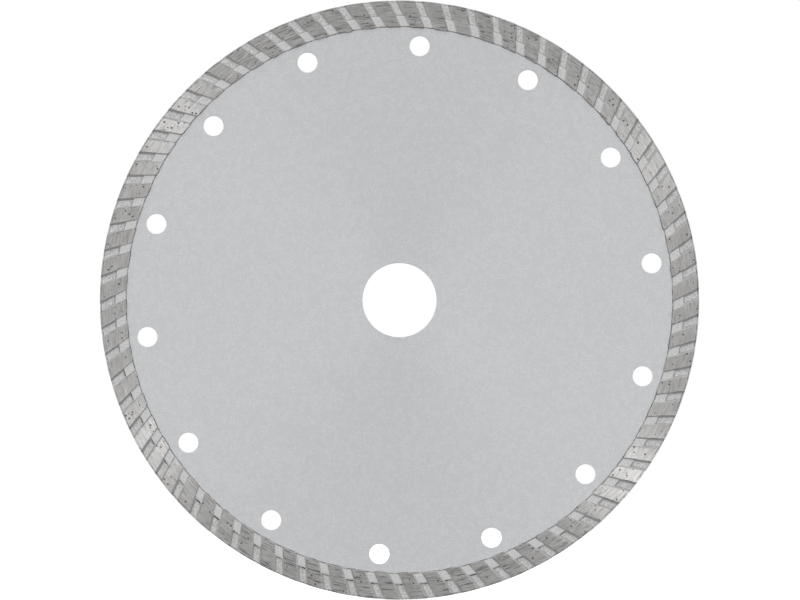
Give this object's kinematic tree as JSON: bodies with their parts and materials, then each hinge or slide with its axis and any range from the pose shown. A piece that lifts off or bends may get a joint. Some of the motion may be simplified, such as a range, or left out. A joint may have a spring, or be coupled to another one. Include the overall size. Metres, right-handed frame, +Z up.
{
  "type": "diamond blade",
  "caption": "Thin round steel saw blade with a sintered, slant-ribbed diamond rim, an arbor bore and a circle of cooling holes.",
  "frame": {"origin": "centre of the arbor bore, on the blade's mid-plane", "axes": "+Y along the blade's axis from the front face to the back face, +Z up and +X to the right as the front face is seen"},
  "size_m": [0.18, 0.0024, 0.18],
  "materials": {
    "painted_core": "thin pale grey paint on rolled steel, satin, with a fine grain",
    "metal_bond": "sintered metal powder, rib tops ground round the blade, groove floors as moulded",
    "diamond": "small dark grey crystals, glassy"
  },
  "bodies": {
    "root": {"steel_core": "painted_core", "diamond_rim": "metal_bond", "grit_front": "diamond", "grit_back": "diamond", "grit_edge": "diamond"}
  },
  "joints": []
}
